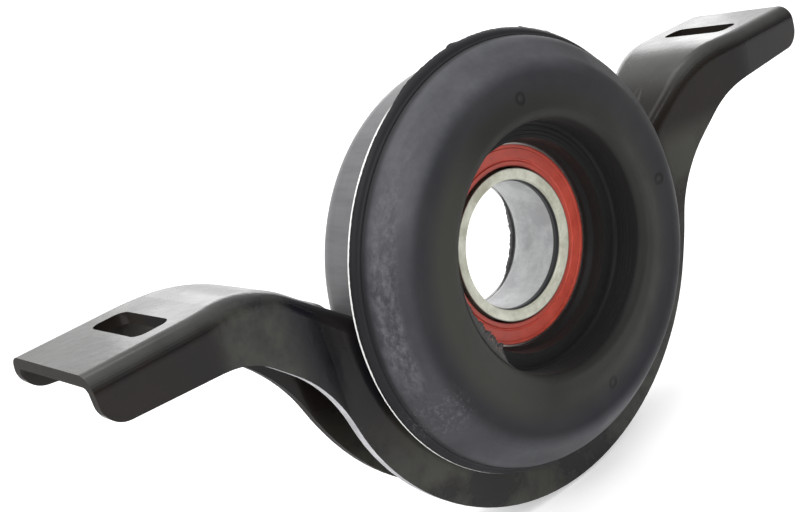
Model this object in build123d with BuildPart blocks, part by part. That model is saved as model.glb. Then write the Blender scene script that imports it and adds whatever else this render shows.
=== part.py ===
from build123d import *
import os
from math import atan, cos, hypot, radians, sin, sqrt, tan

# Driveshaft centre bearing: a ball bearing held in a rubber cushion, inside a flared steel
# sleeve that sits in the cradle of a pressed steel bracket. All sizes are in millimetres.
# The origin is the centre of the bearing's bore. X runs along the wings, Y is the shaft's
# axis with the front towards -Y, and Z is up, towards the face that the wings bolt to.
# The bearing sits a little above the sleeve's own axis, so that a shaft's weight centres it.

# Bearing, a deep groove type for a 30 mm shaft
bore_r = 15.0
outer_ring_r = 27.5
outer_ring_length = 15.0
inner_ring_stand = 0.5
inner_ring_share = 0.232
ball_centre_share = 0.44
outer_land_share = 0.632
ball_share = 0.22302
ball_count = 11
race_gap = 0.1
groove_conformity = 1.04
ring_chamfer = 0.6
bore_lead_length = 1.4
bore_lead_rise = 0.5

# Seals, one on each side of the bearing
seal_seat_depth = 0.6
seal_thickness = 1.4
seal_recess = 0.2
seal_fit_gap = 0.05
seal_lip_gap = 0.4
seal_face_groove = 0.35

# Riveted ribbon cage
cage_sheet = 0.6
cage_half_width = 1.3
cage_gap = 0.12
rivet_share = 0.29
rivet_head_share = 0.55
rivet_head_height = 0.35
rivet_fit_gap = 0.04

# Dust shield on the rear end of the inner ring
shield_sheet = 0.8
shield_bore_gap = 0.4
shield_share = 0.744
shield_dish = 1.2
shield_collar_length = 0.6
shield_fit_gap = 0.04

# Steel carrier ring, moulded into the cushion's hub
carrier_wall = 1.2
carrier_fit_gap = 0.05
carrier_stop = 1.5

# How far the bearing's axis lies above the sleeve's axis
bearing_rise = 1.7

# Outer sleeve, a drawn ring with a flared front and a curled rear end
sleeve_r = 46.4
sleeve_sheet = 1.5
sleeve_flare = 5.4
sleeve_front = 12.3
sleeve_depth = 19.9
sleeve_flare_start = 8.3
sleeve_flare_bend = 2.5
sleeve_curl_reach = 4.6
sleeve_corner = 4.0

# Rubber cushion
bond_gap = 0.05
rim_groove = 0.4
crown_stand = 9.1
crown_peak_inset = 3.4
crown_peak_bend_share = 0.4
crown_shoulder_reach = 2.8
crown_shoulder_stand = 3.4
crown_shoulder_bend = 5.0
crown_valley_share = 0.4
crown_valley_dip_share = 0.11
crown_valley_bend_share = 1.2
mouth_ridge_space = 4.2
mouth_ridge_rise_share = 0.03
mouth_ridge_bend_share = 0.8
crown_thickness = 6.0
crown_rear_bend = 3.0
lining_wall = 3.0
lining_rear_slant = 1.6
mouth_bend = 2.0
well_foot_space = 1.2
well_foot_bend = 0.8
well_draft = 0.02
ledge_step = 1.25
ledge_stand = 5.7
ledge_draft = 0.5
lip_step = 0.35
lip_thickness = 1.2
hub_wall = 2.8
hub_rear_cover = 1.2
rear_lip_share = 0.816

# Bracket, a pressed channel. Its heights are measured from the sleeve's axis.
bracket_sheet = 2.5
sleeve_seat_gap = 0.1
bracket_length = 220.8
wing_width = 34.6
wing_rear_extra = 1.0
cradle_width = 18.4
wing_height = 25.2
wing_flange = 12.2
wing_tip_flange = 10.5
wing_rear_tip_flange = 7.6
cradle_flange = 13.1
channel_inner_bend = 1.5
ramp_slope = 0.81
ramp_reach_out = 10.3
ramp_z = 13.3
ramp_foot_bend = 4.5
ramp_head_bend = 30.0
free_edge_drop = 5.0
free_edge_knee_reach = 8.1
free_edge_foot_bend = 38.0
rear_edge_rise = 4.0
rear_edge_reach = 1.0
free_edge_head_bend = 22.0
flare_start_reach = 9.5
flare_end_reach = 14.0
flare_bend = 18.0
wing_corner = 5.0

# Slots for the two bolts
slot_tip_distance = 17.9
slot_side_distance = 7.3
slot_width = 7.9
slot_corner = 2.4

# Stiffening darts pressed into the foot of each ramp
dart_r = 5.0
dart_hollow_r = 2.5
dart_rise = 0.9
dart_foot_reach = 5.9
dart_head_reach = 17.5

# Values worked out from the sizes above
half_outer = outer_ring_length / 2
half_inner = half_outer + inner_ring_stand
inner_ring_length = 2 * half_inner
bearing_section = outer_ring_r - bore_r
inner_ring_r = bore_r + inner_ring_share * bearing_section
pitch_r = bore_r + ball_centre_share * bearing_section
outer_land_r = bore_r + outer_land_share * bearing_section
ball_r = ball_share * sqrt(bearing_section * pitch_r)
groove_r = ball_r * groove_conformity
seal_seat_r = outer_land_r + seal_seat_depth
shield_bore_r = bore_r + shield_bore_gap
shield_r = bore_r + shield_share * bearing_section
carrier_in_r = outer_ring_r + carrier_fit_gap
carrier_out_r = carrier_in_r + carrier_wall
sleeve_mid_r = sleeve_r - sleeve_sheet / 2
sleeve_in_r = sleeve_r - sleeve_sheet
sleeve_rim_r = sleeve_r + sleeve_flare
sleeve_rear = sleeve_depth - sleeve_front
crown_front = sleeve_front + crown_stand
crown_peak_r = sleeve_r - crown_peak_inset
crown_shoulder_r = sleeve_r + crown_shoulder_reach
crown_shoulder = sleeve_front + crown_shoulder_stand
well_foot_r = outer_ring_r + well_foot_space
mouth_ridge_r = well_foot_r + mouth_ridge_space
crown_span = crown_peak_r - mouth_ridge_r
crown_peak_bend = crown_peak_bend_share * crown_span
crown_valley_r = mouth_ridge_r + crown_valley_share * crown_span
crown_valley = crown_front - crown_valley_dip_share * crown_span
crown_valley_bend = crown_valley_bend_share * crown_span
mouth_ridge = crown_front + mouth_ridge_rise_share * crown_span
mouth_ridge_bend = mouth_ridge_bend_share * crown_span
ledge = half_outer + ledge_stand
lip_r = seal_seat_r + lip_step
ledge_r = lip_r + ledge_step
rear_lip_r = bore_r + rear_lip_share * bearing_section
channel_bend = channel_inner_bend + bracket_sheet
web_r = sleeve_r + sleeve_seat_gap
flange_edge_r = web_r + cradle_flange
rear_edge_r = flange_edge_r + rear_edge_reach
wing_tip_x = bracket_length / 2
ramp_x = web_r + ramp_reach_out
ramp_head_x = ramp_x + (wing_height - ramp_z) / ramp_slope
free_edge_knee_x = ramp_head_x + free_edge_knee_reach
flare_start_x = web_r + flare_start_reach
flare_end_x = ramp_head_x + flare_end_reach
slot_spacing = bracket_length - 2 * slot_tip_distance
slot_length = wing_width - 2 * slot_side_distance
dart_foot_x = web_r + dart_foot_reach
dart_head_x = web_r + dart_head_reach
far = 2 * bracket_length

# The sleeve, the cushion's outer part and the bracket are built round the sleeve's axis.
sleeve_axis = Axis((0, 0, -bearing_rise), (0, 1, 0))
sleeve_section = Plane.XY.offset(-bearing_rise)
cradle_plane = Plane(origin=(0, 0, -bearing_rise), x_dir=(1, 0, 0), z_dir=(0, -1, 0))

os.makedirs("parts", exist_ok=True)


def save(piece, name):
    piece.part.label = name
    export_step(piece.part, f"parts/{name}.step")


# Bearing rings: each is a turned ring with a groove for the balls.
with BuildPart() as bearing_outer_ring:
    with BuildSketch(Plane.XY):
        with Locations(((outer_land_r + outer_ring_r) / 2, 0)):
            ring_section = Rectangle(outer_ring_r - outer_land_r, outer_ring_length)
        chamfer(ring_section.vertices().group_by(Axis.X)[-1], ring_chamfer)
        seat_depth = seal_recess + seal_thickness + seal_fit_gap
        for side in (-1, 1):
            with Locations((outer_land_r, side * (half_outer - seat_depth / 2))):
                Rectangle(2 * (seal_seat_r - outer_land_r), seat_depth, mode=Mode.SUBTRACT)
        with Locations((pitch_r + race_gap + ball_r - groove_r, 0)):
            Circle(groove_r, mode=Mode.SUBTRACT)
    revolve(axis=Axis.Y)

shield_seat_r = inner_ring_r - shield_sheet - shield_fit_gap

with BuildPart() as bearing_inner_ring:
    with BuildSketch(Plane.XY):
        with BuildLine():
            Polyline(
                (inner_ring_r, half_inner),
                (bore_r + bore_lead_rise, half_inner),
                (bore_r, half_inner - bore_lead_length),
                (bore_r, bore_lead_length - half_inner),
                (bore_r + bore_lead_rise, -half_inner),
                (inner_ring_r, -half_inner),
                close=True,
            )
        make_face()
        with Locations((inner_ring_r, half_inner)):
            Rectangle(2 * (inner_ring_r - shield_seat_r), 2 * shield_collar_length, mode=Mode.SUBTRACT)
        with Locations((pitch_r - race_gap - ball_r + groove_r, 0)):
            Circle(groove_r, mode=Mode.SUBTRACT)
    revolve(axis=Axis.Y)


# Balls, evenly spaced round the pitch circle.
balls = []
for number in range(ball_count):
    angle = radians(360 / ball_count * number)
    with BuildPart() as ball:
        with Locations((pitch_r * cos(angle), 0, pitch_r * sin(angle))):
            Sphere(ball_r)
    balls.append(ball)


# Cage: two wavy half rings that meet at the middle and are riveted between the balls.
pocket_r = ball_r + cage_gap
pocket_places = [
    (pitch_r * cos(radians(a)), 0, pitch_r * sin(radians(a)))
    for a in (360 / ball_count * n for n in range(ball_count))
]
rivet_angles = [360 / ball_count * (n + 0.5) for n in range(ball_count)]
rivet_places = [(pitch_r * cos(radians(a)), pitch_r * sin(radians(a))) for a in rivet_angles]
cage_split = 0.01
# The rivets take their size from the flat that is left between a rivet's centre and a pocket.
rivet_flat = 2 * pitch_r * sin(radians(360 / ball_count / 4)) - pocket_r - cage_sheet
rivet_r = rivet_share * rivet_flat
rivet_head_r = rivet_head_share * rivet_flat


def cage_half(side):
    with BuildPart() as half:
        with BuildSketch(Plane.XY):
            with Locations((pitch_r, side * (cage_split + cage_sheet / 2))):
                Rectangle(2 * cage_half_width, cage_sheet)
        revolve(axis=Axis.Y)
        with Locations(*pocket_places):
            Sphere(pocket_r + cage_sheet)
        with Locations(*pocket_places):
            Sphere(pocket_r, mode=Mode.SUBTRACT)
        with BuildSketch(Plane.XY):
            with Locations((pitch_r, side * (cage_split + ball_r))):
                Rectangle(2 * cage_half_width, 2 * ball_r)
        revolve(axis=Axis.Y, mode=Mode.INTERSECT)
        with BuildSketch(Plane.XZ):
            with Locations(*rivet_places):
                Circle(rivet_r + rivet_fit_gap)
        extrude(amount=2 * ball_r, both=True, mode=Mode.SUBTRACT)
    return half


cage_front_half = cage_half(-1)
cage_rear_half = cage_half(1)

# The rivets are one node: a group of small separate solids.
grip = cage_split + cage_sheet
with BuildPart() as cage_rivets:
    with BuildSketch(Plane.XZ):
        with Locations(*rivet_places):
            Circle(rivet_r)
    extrude(amount=grip, both=True)
    for side in (-1, 1):
        with BuildSketch(Plane.XZ.offset(side * grip)):
            with Locations(*rivet_places):
                Circle(rivet_head_r)
        extrude(amount=side * rivet_head_height)


# Seals: moulded rubber discs that sit in the outer ring and wipe the inner ring.
def seal_disc(side):
    inner = inner_ring_r + seal_lip_gap
    outer = seal_seat_r - seal_fit_gap
    face = half_outer - seal_recess
    with BuildPart() as seal:
        with BuildSketch(Plane.XY):
            with Locations(((inner + outer) / 2, side * (face - seal_thickness / 2))):
                disc = Rectangle(outer - inner, seal_thickness)
            fillet(disc.vertices().group_by(Axis.X)[0], seal_thickness / 4)
            with Locations((inner + (outer - inner) * 0.3, side * face)):
                Circle(seal_face_groove, mode=Mode.SUBTRACT)
            with Locations((inner + (outer - inner) * 0.85, side * face)):
                Circle(seal_face_groove / 2, mode=Mode.SUBTRACT)
        revolve(axis=Axis.Y)
    return seal


front_seal = seal_disc(-1)
rear_seal = seal_disc(1)

# Dust shield: a dished disc whose collar is pressed on the rear end of the inner ring.
shield_front = half_inner + shield_fit_gap
with BuildPart() as rear_dust_shield:
    with BuildSketch(Plane.XY):
        with BuildLine():
            Polyline(
                (shield_bore_r, shield_front),
                (shield_seat_r + shield_fit_gap, shield_front),
                (shield_seat_r + shield_fit_gap, half_inner - shield_collar_length + shield_fit_gap),
                (inner_ring_r, half_inner - shield_collar_length + shield_fit_gap),
                (inner_ring_r, shield_front),
                (shield_r, shield_front + shield_dish),
                (shield_r, shield_front + shield_dish + shield_sheet),
                (inner_ring_r, shield_front + shield_sheet),
                (shield_bore_r, shield_front + shield_sheet),
                close=True,
            )
        make_face()
    revolve(axis=Axis.Y)

# Carrier: a steel ring with an inward stop behind the bearing.
carrier_rear = half_outer + carrier_fit_gap + carrier_wall
with BuildPart() as bearing_carrier:
    with BuildSketch(Plane.XY):
        with BuildLine():
            Polyline(
                (carrier_in_r, -half_outer),
                (carrier_out_r, -half_outer),
                (carrier_out_r, carrier_rear),
                (carrier_in_r - carrier_stop, carrier_rear),
                (carrier_in_r - carrier_stop, carrier_rear - carrier_wall),
                (carrier_in_r, carrier_rear - carrier_wall),
                close=True,
            )
        make_face()
    revolve(axis=Axis.Y)

# Outer sleeve: one sheet thickness along a line from the curled rear end to the flared rim.
sleeve_path = [
    (sleeve_mid_r - sleeve_curl_reach, sleeve_rear - sleeve_sheet / 2),
    (sleeve_mid_r, sleeve_rear - sleeve_sheet / 2),
    (sleeve_mid_r, -sleeve_flare_start),
    (sleeve_rim_r - sleeve_sheet / 2, -sleeve_front + sleeve_sheet / 2),
]
sleeve_bends = [sleeve_corner, sleeve_flare_bend]
with BuildPart() as outer_sleeve:
    with BuildSketch(sleeve_section):
        with BuildLine():
            FilletPolyline(*sleeve_path, radius=sleeve_bends)
        trace(line_width=sleeve_sheet)
    revolve(axis=sleeve_axis)

# Rubber cushion, one moulding. Its outer part is bonded inside the sleeve and bulges forward
# as the crown. Its hub grips the carrier round the bearing's axis, at the foot of a well.
flare_run = sleeve_path[3][0] - sleeve_path[2][0]
flare_rise = sleeve_path[2][1] - sleeve_path[3][1]
flare_length = hypot(flare_run, flare_rise)
flare_angle = atan(flare_run / flare_rise)
lining_r = sleeve_in_r - bond_gap
lining_offset = sleeve_sheet / 2 + bond_gap
flare_foot = (lining_r, -sleeve_flare_start - lining_offset * tan(flare_angle / 2))
lining_run = flare_length - rim_groove
flare_end = (
    flare_foot[0] + lining_run * sin(flare_angle),
    flare_foot[1] - lining_run * cos(flare_angle),
)
hub_in_r = carrier_out_r + bond_gap
hub_out_r = hub_in_r + hub_wall
hub_rear = carrier_rear + bond_gap
lip_back = half_outer + bond_gap
lining_rear = sleeve_rear - sleeve_sheet / 2 - sleeve_corner
crown_in_r = (hub_in_r + lip_r) / 2

crown_section = [
    (flare_foot, sleeve_flare_bend),
    (flare_end, 0),
    ((crown_shoulder_r, -crown_shoulder), crown_shoulder_bend),
    ((crown_peak_r, -crown_front), crown_peak_bend),
    ((crown_valley_r, -crown_valley), crown_valley_bend),
    ((mouth_ridge_r, -mouth_ridge), mouth_ridge_bend),
    ((crown_in_r, -mouth_ridge), 0),
    ((crown_in_r, -mouth_ridge + crown_thickness), 0),
    ((crown_peak_r - crown_thickness / 2, -crown_front + crown_thickness + 0.8), crown_rear_bend),
    ((lining_r - lining_wall, lining_rear - lining_rear_slant), 1.0),
    ((lining_r, lining_rear), 0.8),
]
hub_section = [
    ((hub_out_r, -crown_front + crown_thickness / 2), 0),
    ((ledge_r, -crown_front + crown_thickness / 2), 0),
    ((ledge_r - ledge_draft, -half_outer - 2 * lip_thickness), 0.8),
    ((lip_r, -half_outer - lip_thickness), 0.3),
    ((lip_r, -lip_back), 0),
    ((hub_in_r, -lip_back), 0),
    ((hub_in_r, hub_rear), 0),
    ((rear_lip_r, hub_rear), 0),
    ((rear_lip_r, hub_rear + hub_rear_cover), 0.4),
    ((hub_out_r, hub_rear + hub_rear_cover), 1.5),
]
well_section = [
    ((0, -far), 0),
    ((well_foot_r + well_draft * (far - ledge), -far), 0),
    ((well_foot_r, -ledge), well_foot_bend),
    ((0, -ledge), 0),
]


def turned(section, plane, axis):
    # A solid turned from a closed outline of (point, bend radius) pairs.
    with BuildPart() as solid:
        with BuildSketch(plane):
            with BuildLine():
                FilletPolyline(
                    *[point for point, bend in section],
                    radius=[bend for point, bend in section],
                    close=True,
                )
            make_face()
        revolve(axis=axis)
    return solid.part


with BuildPart() as rubber_cushion:
    add(turned(crown_section, sleeve_section, sleeve_axis))
    add(turned(hub_section, Plane.XY, Axis.Y))
    add(turned(well_section, Plane.XY, Axis.Y), mode=Mode.SUBTRACT)
    # The well's mouth is the smallest circle on the flat top of the ridge round it.
    circles = rubber_cushion.edges().filter_by(GeomType.CIRCLE)
    on_ridge = circles.filter_by(lambda e: abs((e @ 0.5).Y + mouth_ridge) < 0.01)
    fillet(on_ridge.sort_by(SortBy.RADIUS)[0], mouth_bend)


# Bracket: a channel whose web follows the sleeve, climbs a ramp on each side and runs out
# into a flat wing. Its two flanges hang from the web on the side away from the sleeve.
ramp_tilt = hypot(1, ramp_slope)


def ramp_height(x, depth):
    return ramp_z + ramp_slope * (x - ramp_x) - depth * ramp_tilt


def ramp_reach(z, depth):
    return ramp_x + (z - ramp_z + depth * ramp_tilt) / ramp_slope


def web_space(depth):
    # The space on the sleeve's side of the web, with the web's face sunk by depth.
    foot_r = web_r + depth
    level = wing_height - depth
    with BuildSketch(cradle_plane) as space:
        Circle(foot_r)
        with BuildLine():
            climb = FilletPolyline(
                (foot_r, 0),
                (foot_r, ramp_height(foot_r, depth)),
                (ramp_reach(level, depth), level),
                (far, level),
                radius=[ramp_foot_bend + depth, ramp_head_bend - depth],
            )
            Polyline(climb @ 1, (far, far), (0, far), (0, 0), climb @ 0)
        make_face()
        mirror(about=Plane.YZ)
    return space.sketch_local


def plan_outline(inset, overrun):
    # The channel's outline from above: narrow at the cradle and wide at the wings, with the
    # rear flange standing out a little further than the front one.
    cradle = cradle_width / 2 - inset
    end = wing_tip_x + overrun
    with BuildSketch(Plane.XY) as plan:
        for side, extra in ((-1, 0), (1, wing_rear_extra)):
            wing = wing_width / 2 + extra - inset
            with BuildLine():
                edge = FilletPolyline(
                    (0, side * cradle),
                    (flare_start_x, side * cradle),
                    (flare_end_x, side * wing),
                    (end, side * wing),
                    radius=[flare_bend + inset, flare_bend - inset],
                )
                Polyline(edge @ 1, (end, 0), (0, 0), edge @ 0)
            make_face()
        mirror(about=Plane.YZ)
    return plan.sketch_local


def web_bends(edges, inset, tip_x):
    # The edges where the web turns down into a flange.
    chosen = []
    for edge in edges:
        middle = edge @ 0.5
        x = abs(middle.X)
        z = middle.Z + bearing_rise
        beside_web = abs(middle.Y) > cradle_width / 2 - inset - 0.1 and x < tip_x - 0.5
        if z < 0:
            near_web = hypot(x, z) < (web_r + flange_edge_r) / 2
        else:
            near_web = z > min(wing_height - wing_tip_flange / 2, ramp_height(x, wing_flange / 2))
        if beside_web and near_web:
            chosen.append(edge)
    return chosen


def dart_rods(radius):
    # One round-ended rod on each side, lying along the foot of the ramp.
    normal = (-ramp_slope / ramp_tilt, 1 / ramp_tilt)
    with BuildPart() as rods:
        for side in (-1, 1):
            ends = []
            for x in (dart_foot_x, dart_head_x):
                sink = dart_r - dart_rise if x == dart_foot_x else dart_r
                height = ramp_height(x, 0) - bearing_rise - sink * normal[1]
                ends.append(Vector(side * (x - sink * normal[0]), 0, height))
            with Locations(*ends):
                Sphere(radius)
            with BuildSketch(Plane(origin=ends[0], z_dir=ends[1] - ends[0])):
                Circle(radius)
            extrude(amount=(ends[1] - ends[0]).length)
    return rods.part


# What the sheet wraps round: the same channel, one sheet thickness smaller.
with BuildPart() as channel_core:
    with BuildSketch(cradle_plane):
        with Locations((0, wing_height - far / 2)):
            Rectangle(2 * far, far)
        add(web_space(bracket_sheet), mode=Mode.SUBTRACT)
    extrude(amount=wing_width, both=True)
    with BuildSketch(Plane.XY):
        add(plan_outline(bracket_sheet, bracket_sheet))
    extrude(amount=far, both=True, mode=Mode.INTERSECT)
    core_bends = web_bends(channel_core.edges(), bracket_sheet, wing_tip_x + bracket_sheet)
    fillet(core_bends, channel_bend - bracket_sheet)
    add(dart_rods(dart_hollow_r))

knee_level = wing_height - wing_flange


def side_outline(edge_r, edge_rise, tip_flange):
    # The channel seen from the front, down to the free edge of one of its flanges.
    with BuildSketch(cradle_plane) as side_view:
        with Locations((0, edge_rise)):
            Circle(edge_r)
        foot_x = sqrt(edge_r**2 - (edge_rise + free_edge_drop) ** 2)
        with BuildLine():
            Polyline(
                (0, far),
                (wing_tip_x, far),
                (wing_tip_x, wing_height - tip_flange),
                (free_edge_knee_x, knee_level),
                (foot_x, -free_edge_drop),
                (0, -free_edge_drop),
                close=True,
            )
        make_face()
        mirror(about=Plane.YZ)
        corners = side_view.vertices().filter_by(lambda v: v.Y < wing_height)
        knees = corners.filter_by(lambda v: abs(abs(v.X) - free_edge_knee_x) < 1)
        fillet(knees, free_edge_head_bend)
        feet = side_view.vertices().filter_by(
            lambda v: v.Y > -3 * free_edge_drop and abs(abs(v.X) - foot_x) < 1
        )
        fillet(feet, free_edge_foot_bend)
        tips = side_view.vertices().filter_by(
            lambda v: abs(abs(v.X) - wing_tip_x) < 1 and v.Y < wing_height
        )
        fillet(tips, wing_corner)
        add(web_space(0), mode=Mode.SUBTRACT)
    return side_view.sketch_local


with BuildPart() as bracket:
    with BuildSketch(cradle_plane):
        add(side_outline(flange_edge_r, 0, wing_tip_flange))
    extrude(amount=wing_width)
    # The rear flange is shallower than the front one under the cradle and at the wing tips.
    with BuildSketch(cradle_plane):
        add(side_outline(rear_edge_r, rear_edge_rise, wing_rear_tip_flange))
    extrude(amount=-wing_width)
    with BuildSketch(Plane.XY):
        add(plan_outline(0, 0))
    extrude(amount=far, both=True, mode=Mode.INTERSECT)
    fillet(web_bends(bracket.edges(), 0, wing_tip_x), channel_bend)
    add(dart_rods(dart_r))
    add(channel_core.part, mode=Mode.SUBTRACT)
    with BuildSketch(Plane.XY):
        with Locations((-slot_spacing / 2, 0), (slot_spacing / 2, 0)):
            RectangleRounded(slot_width, slot_length, slot_corner)
    extrude(amount=far, mode=Mode.SUBTRACT)


save(bracket, "bracket")
save(outer_sleeve, "outer_sleeve")
save(rubber_cushion, "rubber_cushion")
save(bearing_carrier, "bearing_carrier")
save(bearing_outer_ring, "bearing_outer_ring")
save(bearing_inner_ring, "bearing_inner_ring")
for number, ball in enumerate(balls, start=1):
    save(ball, f"ball_{number:02d}")
save(cage_front_half, "cage_front_half")
save(cage_rear_half, "cage_rear_half")
save(cage_rivets, "cage_rivets")
save(front_seal, "front_seal")
save(rear_seal, "rear_seal")
save(rear_dust_shield, "rear_dust_shield")
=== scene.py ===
import math
import random

import bmesh
import bpy
from mathutils import Matrix, Vector


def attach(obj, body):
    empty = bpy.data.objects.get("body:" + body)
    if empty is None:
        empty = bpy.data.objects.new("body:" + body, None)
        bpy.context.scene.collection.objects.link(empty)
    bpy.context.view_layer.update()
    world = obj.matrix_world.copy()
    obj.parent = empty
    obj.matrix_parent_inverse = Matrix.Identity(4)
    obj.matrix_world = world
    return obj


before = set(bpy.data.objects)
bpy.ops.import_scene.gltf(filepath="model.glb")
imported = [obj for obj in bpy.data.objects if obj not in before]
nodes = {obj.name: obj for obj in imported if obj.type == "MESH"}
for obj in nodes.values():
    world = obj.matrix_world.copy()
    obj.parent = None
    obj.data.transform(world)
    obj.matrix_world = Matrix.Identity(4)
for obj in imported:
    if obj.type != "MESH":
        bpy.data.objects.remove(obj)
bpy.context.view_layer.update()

# The sleeve's axis lies below the bearing's axis, in metres.
SLEEVE_Z = -0.0017
# The front and back corner of the sleeve's rim, and the well's mouth, as (radius, y) in
# millimetres. They repeat the part's sizes.
RIM_FRONT = (50.66, -12.19)
RIM_BACK = (51.44, -10.91)
MOUTH = (28.9, -20.5)

FLOOR_HEIGHT = -0.0625
FLOOR_SIZE = 30.0
FLOOR_GLOW = 0.42
WHITE = (1, 1, 1, 1)

# Each light has a name, a place, a width and height, and a power.
LIGHTS = (
    ("key", (-0.60, -0.42, 0.62), (0.5, 0.5), 5.4),
    ("back", (0.80, 1.05, 0.42), (0.9, 0.45), 2.6),
    ("top", (-0.10, 0.25, 1.0), (0.9, 0.35), 2.6),
)

CAMERA_PLACE = (-0.18312, -0.21717, 0.08888)
CAMERA_YAW, CAMERA_PITCH, CAMERA_ROLL = 35.74, -16.69, -17.53
CAMERA_LENS = 56.08


# Node helpers


class Nodes:
    """Short calls that add nodes to a tree."""

    def __init__(self, tree):
        self.tree = tree
        self.tree.nodes.clear()

    def add(self, kind):
        return self.tree.nodes.new("ShaderNode" + kind)

    def put(self, value, socket):
        """Links a socket to another, or writes a plain value in it."""
        if isinstance(value, bpy.types.NodeSocket):
            self.tree.links.new(value, socket)
        else:
            socket.default_value = value

    def math(self, kind, a, b=None):
        node = self.add("Math")
        node.operation = kind
        self.put(a, node.inputs[0])
        if b is not None:
            self.put(b, node.inputs[1])
        return node.outputs[0]

    def product(self, first, *others):
        for value in others:
            first = self.math("MULTIPLY", first, value)
        return first

    def most(self, first, *others):
        for value in others:
            first = self.math("MAXIMUM", first, value)
        return first

    def span(self, value, low, high, out_low=0.0, out_high=1.0):
        """value mapped smoothly from low..high to out_low..out_high."""
        node = self.add("MapRange")
        node.interpolation_type = "SMOOTHSTEP"
        self.put(value, node.inputs["Value"])
        node.inputs["From Min"].default_value = low
        node.inputs["From Max"].default_value = high
        node.inputs["To Min"].default_value = out_low
        node.inputs["To Max"].default_value = out_high
        return node.outputs[0]

    def fall(self, value, low, high):
        """1 up to low, fading to 0 at high."""
        return self.span(value, low, high, 1.0, 0.0)

    def window(self, value, low, high, soft):
        """1 where value is between low and high, fading over soft."""
        return self.product(self.span(value, low - soft, low), self.fall(value, high, high + soft))


class Shader(Nodes):
    """A new node material with a Principled shader."""

    def __init__(self, name):
        self.material = bpy.data.materials.new(name)
        self.material.use_nodes = True
        super().__init__(self.material.node_tree)
        self.output = self.add("OutputMaterial")
        self.surface = self.add("BsdfPrincipled")
        self.put(self.surface.outputs[0], self.output.inputs[0])
        self.position = self.add("TexCoord").outputs["Object"]
        split = self.add("SeparateXYZ")
        self.put(self.position, split.inputs[0])
        self.x, self.y, self.z = split.outputs

    def set(self, **values):
        for name, value in values.items():
            self.put(value, self.surface.inputs[name.replace("_", " ")])

    def noise(self, scale, detail=3.0, roughness=0.5, at=None):
        node = self.add("TexNoise")
        node.inputs["Scale"].default_value = scale
        node.inputs["Detail"].default_value = detail
        node.inputs["Roughness"].default_value = roughness
        self.put(at or self.position, node.inputs["Vector"])
        return node.outputs[0]

    def cells(self, scale):
        """The distance to the nearest of many scattered points."""
        node = self.add("TexVoronoi")
        node.inputs["Scale"].default_value = scale
        self.put(self.position, node.inputs["Vector"])
        return node.outputs["Distance"]

    def mix(self, share, first, second):
        """A colour, share of the way from first to second."""
        node = self.add("Mix")
        node.data_type = "RGBA"
        self.put(share, node.inputs["Factor"])
        for value, socket in ((first, node.inputs[6]), (second, node.inputs[7])):
            self.put((*value, 1.0) if isinstance(value, tuple) else value, socket)
        return node.outputs[2]

    def blend(self, share, first, second):
        """A number, share of the way from first to second."""
        node = self.add("Mix")
        node.data_type = "FLOAT"
        self.put(share, node.inputs["Factor"])
        self.put(first, node.inputs[2])
        self.put(second, node.inputs[3])
        return node.outputs[0]

    def bump(self, *layers):
        """Each layer is (height, distance in metres, strength)."""
        normal = None
        for height, distance, strength in layers:
            node = self.add("Bump")
            node.inputs["Distance"].default_value = distance
            node.inputs["Strength"].default_value = strength
            self.put(height, node.inputs["Height"])
            if normal is not None:
                self.put(normal, node.inputs["Normal"])
            normal = node.outputs[0]
        self.set(Normal=normal)

    def distance(self, x, z):
        """How far the surface lies from the line along Y through (x, z)."""
        x = self.math("SUBTRACT", self.x, x)
        z = self.math("SUBTRACT", self.z, z)
        return self.math("SQRT", self.math("ADD", self.product(x, x), self.product(z, z)))

    def radius(self, centre_z=0.0):
        return self.distance(0.0, centre_z)

    def angle(self, centre_z):
        return self.math("ARCTAN2", self.math("SUBTRACT", self.z, centre_z), self.x)

    def round_grain(self, centre_z, radial, along, around):
        """Coordinates for marks that run round the axis, scaled in each direction."""
        node = self.add("CombineXYZ")
        self.put(self.product(self.radius(centre_z), radial), node.inputs[0])
        self.put(self.product(self.y, along), node.inputs[1])
        self.put(self.product(self.angle(centre_z), around), node.inputs[2])
        return node.outputs[0]

    def facing(self):
        """The three parts of the direction that the surface faces."""
        split = self.add("SeparateXYZ")
        self.put(self.add("NewGeometry").outputs["True Normal"], split.inputs[0])
        return split.outputs


# Materials


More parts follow.
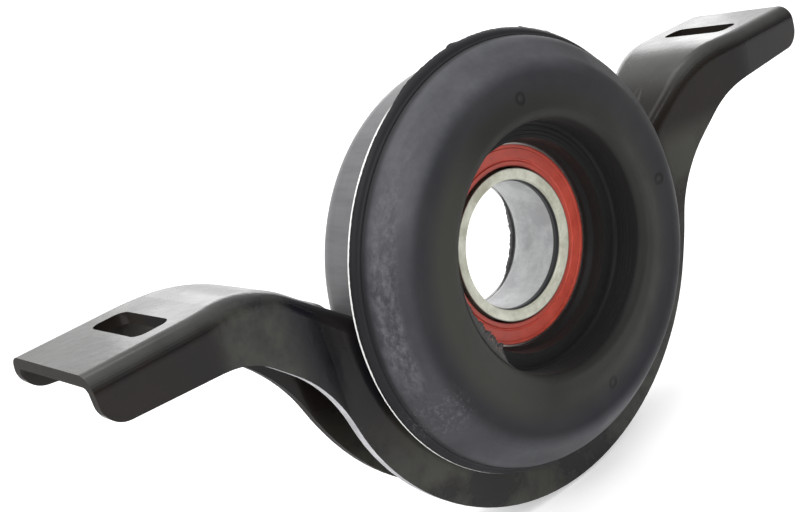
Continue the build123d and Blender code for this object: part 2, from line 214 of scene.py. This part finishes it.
def paint_bracket():
    s = Shader("gloss_black_paint")
    nx, ny, nz = s.facing()
    across = s.math("ABSOLUTE", s.x)
    broad = s.noise(22, 4, 0.6)
    fine = s.noise(900, 3, 0.6)
    colour = s.mix(s.span(broad, 0.38, 0.62), (0.0065, 0.0068, 0.010), (0.0135, 0.0105, 0.0085))
    # A paler olive film lies on the front, in soft clouds: on the left crest, on the right neck
    # and under the cradle. It is partly a dusty film and partly painted reflection.
    low = s.span(s.z, -0.012, -0.042)
    crest = s.window(s.x, -0.080, -0.070, 0.007)
    neck = s.product(s.window(s.z, -0.020, 0.001, 0.008), s.span(s.x, 0.054, 0.058), 0.8)
    cloud = s.span(s.noise(46, 5, 0.65), 0.38, 0.6, 0.2, 1.0)
    film_and_painted_reflection = s.product(s.most(low, crest, neck), cloud, s.span(ny, -0.5, -0.8))
    colour = s.mix(s.product(film_and_painted_reflection, 0.9), colour, (0.070, 0.070, 0.060))
    # Painted reflection of the light overhead: the tops of the wings and the bends beside them
    # are painted a paler, mottled grey (the mask named dust).
    upward = s.span(nz, 0.15, 0.75)
    outboard = s.span(across, 0.058, 0.070)
    dust = s.product(upward, outboard, s.span(s.noise(48, 5, 0.65), 0.25, 0.7, 0.55, 1.0))
    colour = s.mix(s.product(dust, 0.9), colour, (0.066, 0.067, 0.064))
    # The cut edge of the front flange is painted pale, a painted reflection of the floor below it.
    # The other cut edges are painted over and rough.
    flat = s.fall(s.math("ABSOLUTE", ny), 0.4, 0.75)
    outward = s.span(s.radius(SLEEVE_Z), 0.0565, 0.0580)
    under = s.fall(nz, -0.35, 0.15)
    inboard = s.fall(across, 0.070, 0.081)
    edge = s.product(flat, outward, under, inboard)
    cut = s.most(edge, s.span(s.math("ABSOLUTE", nx), 0.85, 0.95))
    ahead = s.fall(s.y, -0.004, -0.002)
    scuff = s.span(s.noise(150, 5, 0.7), 0.3, 0.7)
    # Painted reflection: the pale colour on the front flange's cut edge (the mask named bare).
    bare = s.product(edge, ahead, s.blend(scuff, 0.6, 1.0))
    colour = s.mix(bare, colour, (0.62, 0.62, 0.64))
    # Small pale nicks, in patches.
    patch = s.span(s.noise(60, 2), 0.55, 0.7)
    nicks = s.product(s.fall(s.cells(900), 0.0, 0.12), patch, 0.3)
    colour = s.mix(nicks, colour, (0.1, 0.1, 0.095))
    rough = s.span(s.noise(45, 4, 0.6), 0.3, 0.75, 0.16, 0.32)
    s.set(Base_Color=colour, Roughness=s.blend(cut, s.blend(film_and_painted_reflection, rough, 0.5), 0.85))
    s.set(Specular_IOR_Level=0.15, Coat_Weight=0.08, Coat_Roughness=0.1)
    s.bump((broad, 0.0010, 0.28), (s.noise(420, 2), 0.00009, 0.4), (fine, 0.00003, 0.35))
    return s.material


def paint_sleeve():
    s = Shader("sleeve_steel")
    # Faint drawing marks run round the sleeve, and faint mottling runs along it.
    marks = s.noise(1.0, 4, 0.6, s.round_grain(SLEEVE_Z, 30, 900, 2.5))
    mottle = s.noise(1.0, 4, 0.65, s.round_grain(SLEEVE_Z, 30, 60, 22.0))
    cloud = s.noise(55, 4, 0.6)
    colour = s.mix(s.span(mottle, 0.3, 0.7), (0.112, 0.113, 0.118), (0.15, 0.15, 0.156))
    colour = s.mix(s.span(marks, 0.45, 0.8, 0.0, 0.3), colour, (0.105, 0.106, 0.112))
    colour = s.mix(s.span(cloud, 0.55, 0.8, 0.0, 0.35), colour, (0.09, 0.09, 0.094))
    # The corner of the rim is bare on the left and below, where the rubber's flash stops short.
    turn = s.angle(SLEEVE_Z)
    bare = s.most(s.span(turn, 2.05, 2.2), s.fall(turn, -1.85, -1.5))
    worn = s.span(s.noise(230, 4, 0.7), 0.2, 0.45)
    rim = s.product(s.fall(s.y, -0.0108, -0.0106), bare, s.blend(worn, 0.7, 1.0))
    colour = s.mix(rim, colour, (0.9, 0.9, 0.88))
    s.set(Base_Color=colour, Metallic=s.blend(rim, 0.2, 0.0))
    s.set(Roughness=s.blend(rim, s.span(mottle, 0.2, 0.8, 0.4, 0.52), 0.45))
    s.bump((marks, 0.00003, 0.1), (cloud, 0.0004, 0.15), (s.noise(700, 3), 0.00003, 0.3))
    return s.material


def polar_place(radius, degrees):
    """A point (x, z) of the cushion's face."""
    turn = math.radians(degrees)
    return radius * math.cos(turn), SLEEVE_Z + radius * math.sin(turn)


SCUFF = polar_place(0.0461, -155)
PIN_MARKS = (polar_place(0.0362, 87), polar_place(0.0391, 4), polar_place(0.0368, -79.5))


def moulded_rubber():
    s = Shader("moulded_rubber")
    r = s.radius(SLEEVE_Z)
    turn = s.angle(SLEEVE_Z)
    broad = s.noise(24, 5, 0.6)
    grain = s.noise(2600, 3, 0.6)
    colour = s.mix(s.span(broad, 0.32, 0.68), (0.018, 0.0185, 0.0235), (0.025, 0.0253, 0.027))
    # The inner half of the crown is a little olive, and painted paler on the left as painted
    # light.
    inside = s.span(r, 0.0400, 0.0345)
    leftward = s.span(s.x, -0.010, -0.026)
    olive_and_painted_light = s.mix(leftward, (0.0225, 0.0225, 0.0195), (0.043, 0.0435, 0.0375))
    colour = s.mix(s.product(inside, 0.9), colour, olive_and_painted_light)
    # Pale bloom and a painted highlight follow the crown's outer side on the left, in fine flecks
    # drawn round the ring.
    drawn = s.noise(1.0, 8, 0.75, s.round_grain(SLEEVE_Z, 900, 300, 16.0))
    fleck = s.span(s.noise(900, 5, 0.75), 0.3, 0.62, 0.35, 1.0)
    left = s.most(s.span(turn, 1.9, 2.6), s.fall(turn, -3.05, -2.75))
    band = s.window(r, 0.0462, 0.0483, 0.0016)
    bloom_and_painted_highlight = s.product(s.span(drawn, 0.36, 0.66), left, band, fleck)
    colour = s.mix(s.product(bloom_and_painted_highlight, 0.85), colour, (0.15, 0.15, 0.168))
    # A wide haze lies over the crown's outer side, weaker on the right: partly haze and partly
    # painted light, paler on the lit side. A dark line next to the rim is painted shade.
    ends = s.most(s.span(s.z, 0.004, 0.034), s.span(s.z, -0.030, -0.044))
    side = s.product(s.span(s.x, 0.034, 0.004), s.blend(ends, 0.5, 1.0))
    cloud = s.span(s.noise(60, 6, 0.7), 0.3, 0.7, 0.55, 1.0)
    haze_and_painted_light = s.product(s.window(r, 0.0440, 0.0482, 0.0035), side, cloud)
    colour = s.mix(s.product(haze_and_painted_light, 0.75), colour, (0.125, 0.126, 0.14))
    # Painted shade: the dark line next to the rim.
    colour = s.mix(s.product(s.span(r, 0.0492, 0.0496), 0.7), colour, (0.008, 0.008, 0.009))
    # Scuffs low on the left.
    scuff = s.span(s.noise(900, 7, 0.85), 0.5, 0.62)
    scuff = s.product(s.fall(s.distance(*SCUFF), 0.002, 0.0085), scuff)
    colour = s.mix(s.product(scuff, 0.5), colour, (0.15, 0.15, 0.16))
    # Small round marks of the mould's pins.
    rings = []
    for place in PIN_MARKS:
        away = s.distance(*place)
        rings.append(s.product(s.span(away, 0.0003, 0.0010), s.fall(away, 0.0012, 0.0019)))
    pins = s.most(*rings)
    colour = s.mix(s.product(pins, 0.75), colour, (0.006, 0.006, 0.006))
    # The well's wall is painted darker, a painted shade in the well, and shines along fine rings.
    shaded_well_wall = s.product(s.fall(s.radius(), 0.0290, 0.0306), s.span(s.y, -0.0215, -0.0200))
    colour = s.mix(s.product(shaded_well_wall, 0.7), colour, (0.006, 0.0065, 0.0075))
    patch = s.span(s.noise(90, 3), 0.5, 0.68)
    dust = s.product(s.fall(s.cells(1500), 0.0, 0.16), patch, 0.2)
    colour = s.mix(dust, colour, (0.11, 0.11, 0.115))
    rough = s.span(s.noise(70, 4, 0.6), 0.3, 0.7, 0.50, 0.64)
    s.set(Base_Color=colour, Roughness=s.blend(shaded_well_wall, s.blend(bloom_and_painted_highlight, rough, 0.66), 0.55))
    s.set(Specular_IOR_Level=0.17, Sheen_Weight=0.04, Sheen_Roughness=0.5)
    wall = s.noise(1.0, 3, 0.55, s.round_grain(0, 2600, 1800, 0.8))
    s.bump(
        (broad, 0.0007, 0.25),
        (drawn, 0.0002, 0.25),
        (pins, 0.0002, 0.5),
        (s.product(wall, shaded_well_wall), 0.0003, 0.7),
        (grain, 0.00003, 0.4),
    )
    return s.material


def torn_rubber():
    """Thin flash, dark, with painted highlight: paler and pinkish bits along its torn edge."""
    s = Shader("torn_rubber")
    bits = s.span(s.noise(1500, 4, 0.75), 0.55, 0.64)
    tip = s.span(s.radius(), 0.0272, 0.0287, 1.0, 0.15)
    # Painted highlight: the paler, pinkish colour of the bits along the torn edge.
    colour = s.mix(s.product(bits, tip), (0.026, 0.026, 0.025), (0.34, 0.15, 0.13))
    s.set(Base_Color=colour, Roughness=s.span(bits, 0.0, 1.0, 0.4, 0.6))
    s.set(Specular_IOR_Level=0.4)
    s.bump((s.noise(1800, 3), 0.00008, 0.5), (bits, 0.0001, 0.4))
    return s.material


def seal_rubber():
    s = Shader("seal_rubber_red")
    ring = s.noise(1.0, 3, 0.6, s.round_grain(0, 2600, 0, 2.0))
    cloud = s.noise(140, 4, 0.65)
    colour = s.mix(s.span(cloud, 0.3, 0.7), (0.54, 0.064, 0.04), (0.70, 0.098, 0.062))
    grime = s.span(s.noise(420, 5, 0.7), 0.6, 0.75)
    colour = s.mix(s.product(grime, 0.35), colour, (0.2, 0.04, 0.03))
    # Painted shade: the seal is dark where it meets the rings.
    r = s.radius()
    ring_gap_shade = s.most(s.fall(r, 0.0183, 0.0189), s.span(r, 0.0231, 0.0234, 0.0, 0.6))
    colour = s.mix(s.product(ring_gap_shade, 0.8), colour, (0.07, 0.014, 0.012))
    s.set(Base_Color=colour, Roughness=s.span(cloud, 0.3, 0.7, 0.34, 0.5))
    s.bump((ring, 0.00008, 0.35), (s.noise(1800, 3), 0.00003, 0.4))
    return s.material


def ground_steel(name, light, dark, grime):
    s = Shader(name)
    turned = s.noise(1.0, 4, 0.6, s.round_grain(0, 5200, 5200, 1.0))
    cloud = s.noise(130, 5, 0.65)
    colour = s.mix(s.span(cloud, 0.3, 0.72), light, dark)
    patch = s.span(s.noise(170, 4), 0.52, 0.66)
    specks = s.product(s.fall(s.cells(1100), 0.03, 0.16), patch, grime)
    colour = s.mix(specks, colour, (0.09, 0.085, 0.08))
    s.set(Base_Color=colour, Metallic=0.92)
    s.set(Roughness=s.span(turned, 0.25, 0.75, 0.26, 0.42))
    s.bump((turned, 0.00004, 0.3), (s.noise(900, 3), 0.00002, 0.25))
    return s.material


def inner_ring_steel():
    """Pale, slightly yellow end faces; a greyer bore, with painted shade along the foot of its
    lead.
    """
    s = Shader("inner_ring_steel")
    turned = s.noise(1.0, 4, 0.6, s.round_grain(0, 5200, 5200, 1.0))
    cloud = s.noise(120, 5, 0.65)
    r = s.radius()
    face = s.mix(s.span(cloud, 0.3, 0.72), (0.90, 0.91, 0.78), (0.50, 0.49, 0.38))
    streaks = s.span(s.noise(95, 5, 0.7), 0.35, 0.68)
    bore = s.mix(streaks, (0.56, 0.57, 0.57), (0.36, 0.36, 0.37))
    inside = s.most(s.fall(r, 0.01502, 0.0152), s.span(s.y, 0.003, 0.004))
    colour = s.mix(inside, face, bore)
    # Painted shade: a dark line along the foot of the bore's lead, and a darker outer corner of
    # the face.
    line = s.product(s.window(s.y, -0.0072, -0.0058, 0.0003), s.fall(r, 0.0152, 0.0155))
    corner = s.product(s.span(r, 0.01765, 0.0178), 0.6)
    colour = s.mix(s.most(line, corner), colour, (0.02, 0.02, 0.022))
    patch = s.span(s.noise(170, 4), 0.5, 0.62)
    specks = s.product(s.fall(s.cells(900), 0.03, 0.14), patch, 0.55)
    colour = s.mix(specks, colour, (0.08, 0.075, 0.06))
    s.set(Base_Color=colour, Metallic=0.2)
    s.set(Roughness=s.span(turned, 0.25, 0.75, 0.4, 0.56))
    s.bump((turned, 0.00004, 0.35), (cloud, 0.0001, 0.2), (s.noise(900, 3), 0.00002, 0.3))
    return s.material


def dark_sheet():
    """Dark sheet, bare on the thin wall of its bore."""
    s = Shader("dark_sheet")
    cloud = s.noise(150, 4, 0.6)
    colour = s.mix(s.span(cloud, 0.3, 0.7), (0.009, 0.009, 0.01), (0.028, 0.028, 0.029))
    bare = s.window(s.radius(), 0.01539, 0.01541, 0.00001)
    s.set(Base_Color=s.mix(bare, colour, (0.5, 0.5, 0.49)))
    s.set(Roughness=s.span(s.noise(90, 3), 0.3, 0.7, 0.32, 0.5))
    s.bump((s.noise(1.0, 3, 0.6, s.round_grain(0, 3000, 0, 1.0)), 0.00005, 0.3))
    return s.material


def dress(obj, material):
    for place in obj.material_slots:
        place.material = material
    if not obj.material_slots:
        obj.data.materials.append(material)


rubber = moulded_rubber()
sheet = dark_sheet()
plain_steel = ground_steel("plain_steel", (0.56, 0.56, 0.55), (0.42, 0.42, 0.42), 0.3)
ball_steel = ground_steel("ball_steel", (0.82, 0.82, 0.82), (0.74, 0.74, 0.75), 0.05)
bearing_steel = ground_steel(
    "ground_bearing_steel", (0.36, 0.355, 0.34), (0.24, 0.235, 0.22), 0.3
)
seal = seal_rubber()

# The material of each node, by how its name starts.
FINISHES = {
    "bracket": paint_bracket(),
    "outer_sleeve": paint_sleeve(),
    "rubber_cushion": rubber,
    "rear_dust_shield": sheet,
    "ball_": ball_steel,
    "cage_": plain_steel,
    "bearing_carrier": plain_steel,
    "bearing_outer_ring": bearing_steel,
    "bearing_inner_ring": inner_ring_steel(),
    "front_seal": seal,
    "rear_seal": seal,
}
for start, finish in FINISHES.items():
    for name, obj in nodes.items():
        if name.startswith(start):
            dress(obj, finish)


# Flash and rough edges, as thin bodies swept round an axis


def wobble(seed, counts):
    """An even, repeatable unevenness round the axis, from -1 to 1."""
    chance = random.Random(seed)
    waves = [(count, chance.uniform(0, 2 * math.pi), chance.uniform(0.5, 1.0)) for count in counts]
    total = sum(size for count, phase, size in waves)

    def value(degrees):
        turn = math.radians(degrees)
        return sum(size * math.sin(count * turn + phase) for count, phase, size in waves) / total

    return value


def fade(value, low, high):
    share = min(max((value - low) / (high - low), 0.0), 1.0)
    return share * share * (3 - 2 * share)


def moved(point, *steps):
    """A point (radius, y), moved by steps of (length, direction)."""
    return tuple(point[k] + sum(length * way[k] for length, way in steps) for k in (0, 1))


def swept(name, centre_z, start, end, steps, section, material, body):
    """A closed section of (radius, y), in millimetres, swept from start to end degrees."""
    whole = end - start == 360
    stations = steps if whole else steps + 1
    points = []
    for n in range(stations):
        degrees = start + (end - start) * n / steps
        turn = math.radians(degrees)
        for radius, y in section(degrees):
            r = radius / 1000
            points.append((r * math.cos(turn), y / 1000, centre_z + r * math.sin(turn)))
    size = len(points) // stations
    faces = []
    for n in range(steps):
        here = n * size
        there = ((n + 1) % stations) * size
        for k in range(size):
            k2 = (k + 1) % size
            faces.append((here + k, here + k2, there + k2, there + k))
    if not whole:
        faces.append(tuple(range(size)))
        faces.append(tuple(reversed(range((stations - 1) * size, stations * size))))
    mesh = bpy.data.meshes.new(name)
    mesh.from_pydata(points, [], faces)
    for face in mesh.polygons:
        face.use_smooth = True
    mesh.materials.append(material)
    obj = bpy.data.objects.new(name, mesh)
    bpy.context.scene.collection.objects.link(obj)
    made = bmesh.new()
    made.from_mesh(mesh)
    bmesh.ops.recalc_face_normals(made, faces=made.faces)
    made.to_mesh(mesh)
    made.free()
    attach(obj, body)


rim_slow = wobble(3, (5, 9, 14, 23))
rim_fast = wobble(4, (61, 97, 143, 211))
rim_teeth = wobble(5, (33, 52, 88))
mouth_teeth = wobble(8, (41, 67, 103, 171))
shield_teeth = wobble(11, (17, 29, 47, 83))

# Where bits of the rim's flash stick out: the angle, half the width in degrees, and the reach.
RIM_BITS = ((95, 2.2, 0.55), (70, 1.6, 0.6), (61, 1.3, 0.75), (48, 3.0, 0.3))


def rim_flash(degrees):
    """Rubber that crept over the sleeve's rim: short of its back corner on the left and below,
    and over it at the top, with a few torn bits."""
    top = fade(degrees, 24, 34) * (1 - fade(degrees, 112, 121))
    reach = 0.74 + 0.05 * rim_slow(degrees) + 0.035 * rim_fast(degrees)
    reach += (1 - reach) * top
    over = 0.16 + 0.10 * rim_slow(degrees) + 0.10 * rim_fast(degrees)
    for place, width, size in RIM_BITS:
        near = max(0.0, 1 - abs(degrees - place) / width)
        over += size * near * (1 + 0.5 * rim_teeth(degrees))
    over = max(0.0, over) * top
    run = (RIM_BACK[0] - RIM_FRONT[0], RIM_BACK[1] - RIM_FRONT[1])
    length = math.hypot(*run)
    along = (run[0] / length, run[1] / length)
    out = (along[1], -along[0])
    end = moved(RIM_FRONT, (reach, run), (over, along))
    middle = ((RIM_FRONT[0] + end[0]) / 2, (RIM_FRONT[1] + end[1]) / 2)
    return [
        (49.62, -13.25),
        (49.95, -12.72),
        (50.35, -12.48),
        (RIM_FRONT[0] + 0.10, RIM_FRONT[1] - 0.17),
        moved(middle, (0.17, out)),
        moved(end, (0.12, out)),
        moved(end, (-0.02, out), (0.05, along)),
        moved(middle, (-0.03, out)),
        (RIM_FRONT[0] - 0.03, RIM_FRONT[1] + 0.02),
        (50.25, -12.0),
        (49.78, -12.2),
    ]


def mouth_flash(degrees):
    """A torn lip on the lower left of the well's mouth, widest near its lower end."""
    teeth = mouth_teeth(degrees)
    width = 2.5 * fade(degrees, -188, -153) * (1 - fade(degrees, -151, -139))
    width = max(0.02, width * (1 + 0.22 * teeth) + 0.25 * max(0.0, teeth))
    radius, y = MOUTH
    middle = radius - 0.4 * width
    inner = radius - 0.05 - width
    lift = 0.12 * mouth_teeth(degrees + 7)
    return [
        (radius + 0.15, y - 0.35),
        (middle, y - 0.32),
        (inner + 0.05, y - 0.12 + lift),
        (inner, y - 0.02 + lift),
        (middle, y),
        (radius + 0.1, y + 0.1),
    ]


def shield_curl(degrees):
    """The ragged end of the dust shield's bore, longest on one side."""
    longest = fade(degrees, -74, -38) * (1 - fade(degrees, -2, 30))
    end = 8.15 + (1.75 + 0.3 * shield_teeth(degrees)) * longest
    return [(15.3, 8.08), (15.34, end - 0.05), (15.45, end), (15.6, end - 0.03), (15.6, 8.1)]


swept("rim_flash", SLEEVE_Z, 0, 360, 1080, rim_flash, rubber, "housing")
swept("mouth_flash", 0.0, -190, -137, 260, mouth_flash, torn_rubber(), "housing")
swept("shield_curl", 0.0, -74, 30, 240, shield_curl, sheet, "inner_ring")


# Floor, light and camera


def floor_material():
    """White for the camera and in reflections, and darker only where the object shades it."""
    s = Shader("pale_floor")
    cloud = s.noise(3, 2)
    s.set(Base_Color=s.mix(s.span(cloud, 0.3, 0.7), (0.80, 0.80, 0.80), (0.82, 0.82, 0.82)))
    s.set(Roughness=0.95, Specular_IOR_Level=0.0)
    path = s.add("LightPath").outputs
    seen = s.most(path["Is Camera Ray"], path["Is Glossy Ray"], path["Is Transmission Ray"])
    glow = s.add("Emission")
    s.put(WHITE, glow.inputs["Color"])
    s.put(s.product(seen, FLOOR_GLOW), glow.inputs["Strength"])
    both = s.add("AddShader")
    s.put(s.surface.outputs[0], both.inputs[0])
    s.put(glow.outputs[0], both.inputs[1])
    s.put(both.outputs[0], s.output.inputs[0])
    return s.material


def add_floor():
    far = FLOOR_SIZE
    corners = ((-far, -far), (far, -far), (far, far), (-far, far))
    mesh = bpy.data.meshes.new("floor")
    mesh.from_pydata([(x, y, FLOOR_HEIGHT) for x, y in corners], [], [(0, 1, 2, 3)])
    mesh.materials.append(floor_material())
    floor = bpy.data.objects.new("floor", mesh)
    bpy.context.scene.collection.objects.link(floor)


def add_light(name, place, size, power):
    """An area light, aimed at the middle of the bore."""
    light = bpy.data.lights.new(name, "AREA")
    light.shape = "RECTANGLE"
    light.size, light.size_y = size
    light.energy = power
    obj = bpy.data.objects.new(name, light)
    bpy.context.scene.collection.objects.link(obj)
    obj.location = place
    obj.rotation_euler = (-Vector(place)).to_track_quat("-Z", "Y").to_euler()


def add_world():
    """A soft studio: pale behind the object and overhead, dim on the camera's side. The camera
    itself sees plain white."""
    world = bpy.data.worlds.new("studio")
    bpy.context.scene.world = world
    world.use_nodes = True
    w = Nodes(world.node_tree)
    split = w.add("SeparateXYZ")
    w.put(w.add("TexCoord").outputs["Generated"], split.inputs[0])
    x, y, z = split.outputs
    behind = w.product(w.span(y, -0.10, 0.55), w.span(x, -0.45, 0.15, 0.6, 1.0))
    low = w.span(z, 0.30, 0.85, 1.2, 0.4)
    overhead = w.span(z, 0.55, 0.95, 0.0, 0.75)
    sides = w.span(y, -0.8, 0.2, 0.24, 0.34)
    strength = w.math("ADD", w.math("ADD", w.product(behind, low), overhead), sides)
    mix = w.add("MixShader")
    w.put(w.add("LightPath").outputs["Is Camera Ray"], mix.inputs[0])
    for light, socket in ((strength, mix.inputs[1]), (1.0, mix.inputs[2])):
        background = w.add("Background")
        w.put(WHITE, background.inputs["Color"])
        w.put(light, background.inputs["Strength"])
        w.put(background.outputs[0], socket)
    w.put(mix.outputs[0], w.add("OutputWorld").inputs[0])


def add_camera():
    yaw, pitch, roll = (math.radians(a) for a in (CAMERA_YAW, CAMERA_PITCH, CAMERA_ROLL))
    level_ahead = (math.sin(yaw) * math.cos(pitch), math.cos(yaw) * math.cos(pitch))
    ahead = Vector((*level_ahead, math.sin(pitch)))
    level = Vector((math.cos(yaw), -math.sin(yaw), 0.0))
    rise = level.cross(ahead)
    right = level * math.cos(roll) + rise * math.sin(roll)
    up = rise * math.cos(roll) - level * math.sin(roll)
    data = bpy.data.cameras.new("camera")
    data.sensor_fit = "HORIZONTAL"
    data.sensor_width = 36.0
    data.lens = CAMERA_LENS
    data.clip_start = 0.01
    data.clip_end = 100.0
    camera = bpy.data.objects.new("camera", data)
    bpy.context.scene.collection.objects.link(camera)
    axes = Matrix((right, up, -ahead)).transposed().to_4x4()
    camera.matrix_world = Matrix.Translation(CAMERA_PLACE) @ axes
    bpy.context.scene.camera = camera


add_floor()
for light in LIGHTS:
    add_light(*light)
add_world()
add_camera()
bpy.context.scene.view_settings.view_transform = "Standard"
